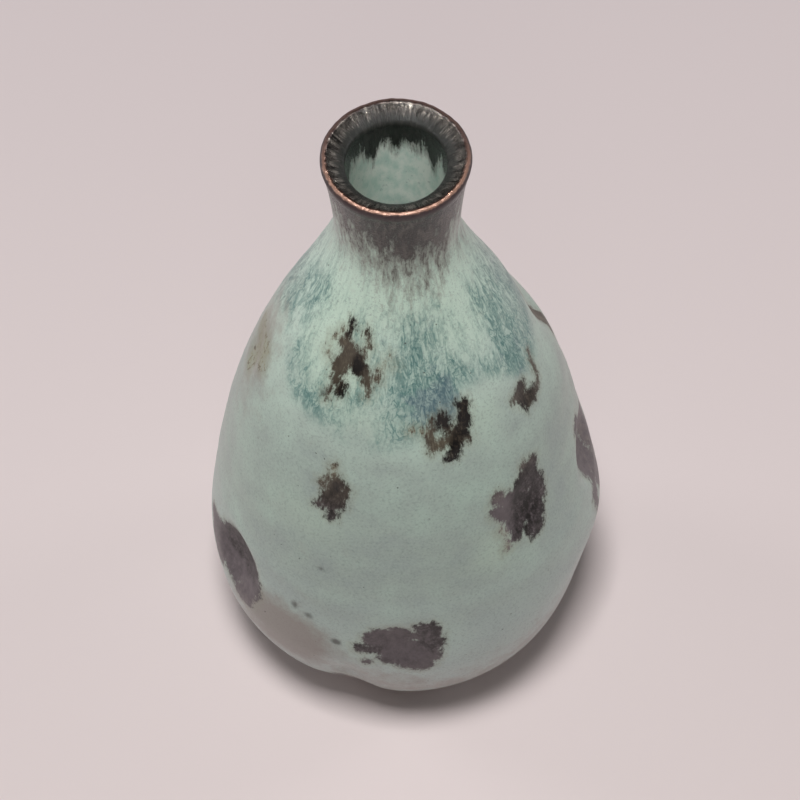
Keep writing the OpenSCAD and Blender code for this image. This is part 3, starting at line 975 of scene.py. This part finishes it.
def glaze(name, specular=GLAZE_SPECULAR):
    """One recipe for all the glazes, which melt into each other: each piece shows what its fields say."""
    g = Nodes(name)
    grain = g.noise(g.place, 2.1, 4, 0.75)
    blotch = g.noise(g.place, 0.7, 5, 0.7)
    pits = pinholes(g)
    colour = grained(g, grain, shoulder_runs(g, ground(g)))
    colour = lined_with_painted_light(g, worn(g, pits, colour))
    colour, cover = spotted(g, blotch, colour)
    colour, full, dish, sheen, fine = metalled(g, blotch, colour)
    colour, rim, copper_and_highlight = edged(g, colour)

    rough = 0.32 - 0.05 * full - 0.06 * dish - 0.2 * copper_and_highlight + 0.15 * rim + 0.15 * grain + 0.06 * cover
    ridges = g.noise(g.stretched(g.flow, 0.4), 0.5, 5, 0.8)
    beads = g.noise(g.place, 1.1, 3, 0.6) * (3 * rim + 2 * copper_and_highlight)
    metal_relief = 2.6 * (fine * full) + 5 * (ridges * dish)
    height = 0.35 * grain + metal_relief - 2 * pits + 0.6 * cover + beads
    g.add_relief(height, strength=0.5, depth=0.08)
    g.put(g.shader.inputs["Metallic"], 0.35 * copper_and_highlight + 0.75 * sheen)
    g.shader.inputs["IOR"].default_value = GLAZE_IOR
    g.shader.inputs["Specular IOR Level"].default_value = specular
    return g.finish(colour, rough)


def bare_clay():
    """Bare stoneware: warm buff with dark iron specks."""
    g = Nodes("bare_clay")
    colour = g.ramp(0.5 + g.noise(g.place, 0.2, 4), CLAY)
    specks = g.step(g.cells(0.9), 0.14, 0.08)
    g.add_relief(g.noise(g.place, 2.2, 4, 0.7), strength=0.6, depth=0.1)
    return g.finish(g.mix(0.7 * specks, colour, IRON), 0.85)


def floor_paper():
    """The pale pinkish ground, with painted shade that darkens it a little toward the back."""
    g = Nodes("floor_paper")
    near = g.mix(0.5 + g.noise(g.place, 0.004, 2), PAPER, PAPER_LIGHT)
    # Painted shade: darker toward the back.
    return g.finish(g.mix(g.step(g.coordinate("Y"), *FLOOR_SHADE_SPAN), near, PAPER_PAINTED_SHADE), 0.95)


MATERIALS = {
    "bare_clay": bare_clay(),
    "turquoise_glaze": glaze("turquoise_glaze"),
    "liner_glaze": glaze("liner_glaze"),
    "metallic_glaze": glaze("metallic_glaze", METAL_SPECULAR),
    "dark_spot_glaze": glaze("dark_spot_glaze"),
}

SLOT_OF = {"outer_glaze": "turquoise_glaze", "liner_glaze": "liner_glaze", "lip_glaze": "metallic_glaze"}
for node in sorted(frame["nodes"]):
    if node != "clay_body":
        coat = LINER if node == "liner_glaze" else COAT
        shell(node, OWNER == node, coat, SLOT_OF.get(node, "dark_spot_glaze"))
clay("bare_clay")


# ---------------------------------------------------------------- floor, lights and camera

# The soft lights: name, place, side, and power in watts.
LAMPS = [("softbox", (-65, -240, 1600), 400, 20.3), ("front_fill", (-50, -1100, 900), 350, 0.7),
         ("card_left", (-900, 420, 300), 300, 2.2), ("card_right", (900, 420, 300), 300, 1.6)]

# The narrow beam into the mouth: its width is in degrees, and its softness is its source's radius.
BEAM_PLACE = (0, -292, 705)
BEAM_TARGET = (0, 1, TOP - 3)
BEAM_POWER = 5.3
BEAM_WIDTH = 2.6
BEAM_SOFTNESS = 12

# The even light from all round.
SKY = srgb(222, 214, 216)
SKY_STRENGTH = 0.07

# The camera's place, the angles in degrees by which it looks down, is turned and is rolled, its lens and
# sensor, and the distances between which it sees.
CAMERA_PLACE = (2.25, -267.6, 469.1)
CAMERA_DOWN = 56.60
CAMERA_TURN = -0.51
CAMERA_ROLL = -1.16
CAMERA_LENS = 117
CAMERA_SENSOR = 36
CAMERA_CLIP = (10, 20000)

# How far the floor runs each way, and how far it lies below the foot.
FLOOR_REACH = 4000
FLOOR_GAP = 0.02


def in_metres(place):
    """A place in mm as the scene takes it."""
    return Vector([MM * value for value in place])


def floor():
    """A pale floor, wide enough to fill the view."""
    mesh = bpy.data.meshes.new("floor")
    signs = ((-1, -1), (1, -1), (1, 1), (-1, 1))
    corners = [in_metres((x * FLOOR_REACH, y * FLOOR_REACH, BASE - FLOOR_GAP)) for x, y in signs]
    mesh.from_pydata(corners, [], [(0, 1, 2, 3)])
    mesh.materials.append(floor_paper())
    in_scene("floor", mesh)


def aim(piece, place, target):
    """Puts a light at a place and turns it to a target."""
    piece.location = in_metres(place)
    look = in_metres(target) - in_metres(place)
    piece.rotation_euler = look.to_track_quat("-Z", "Y").to_euler()


def lamp(name, place, size, power):
    """A square soft light that looks at the vase."""
    light = bpy.data.lights.new(name, "AREA")
    light.shape = "SQUARE"
    light.size = size * MM
    light.energy = power
    aim(in_scene(name, light), place, (0, 0, TOP / 2))


def beam():
    """A narrow beam down the mouth, which shows the throat as the photograph does."""
    light = bpy.data.lights.new("mouth_beam", "SPOT")
    light.energy = BEAM_POWER
    light.spot_size = math.radians(BEAM_WIDTH)
    light.spot_blend = 1
    light.shadow_soft_size = BEAM_SOFTNESS * MM
    aim(in_scene("mouth_beam", light), BEAM_PLACE, BEAM_TARGET)


def world():
    """Even light from all round."""
    sky = bpy.data.worlds.new("studio")
    sky.use_nodes = True
    background = sky.node_tree.nodes["Background"]
    background.inputs["Color"].default_value = SKY
    background.inputs["Strength"].default_value = SKY_STRENGTH
    bpy.context.scene.world = sky


def camera():
    """The photograph's viewing angle: a long lens, well above the vase and in front of it."""
    down, turn, roll = (math.radians(angle) for angle in (CAMERA_DOWN, CAMERA_TURN, CAMERA_ROLL))
    ahead = Vector((math.sin(turn) * math.cos(down), math.cos(turn) * math.cos(down), -math.sin(down)))
    level = ahead.cross(UP).normalized()
    upright = level.cross(ahead)
    right = math.cos(roll) * level + math.sin(roll) * upright
    up = math.cos(roll) * upright - math.sin(roll) * level
    data = bpy.data.cameras.new("camera")
    data.lens = CAMERA_LENS
    data.sensor_width = CAMERA_SENSOR
    data.clip_start, data.clip_end = (MM * distance for distance in CAMERA_CLIP)
    piece = in_scene("camera", data)
    axes = Matrix((right, up, -ahead)).transposed().to_4x4()
    piece.matrix_world = Matrix.Translation(in_metres(CAMERA_PLACE)) @ axes
    bpy.context.scene.camera = piece


floor()
for facts in LAMPS:
    lamp(*facts)
beam()
world()
camera()
bpy.context.scene.view_settings.view_transform = "Standard"
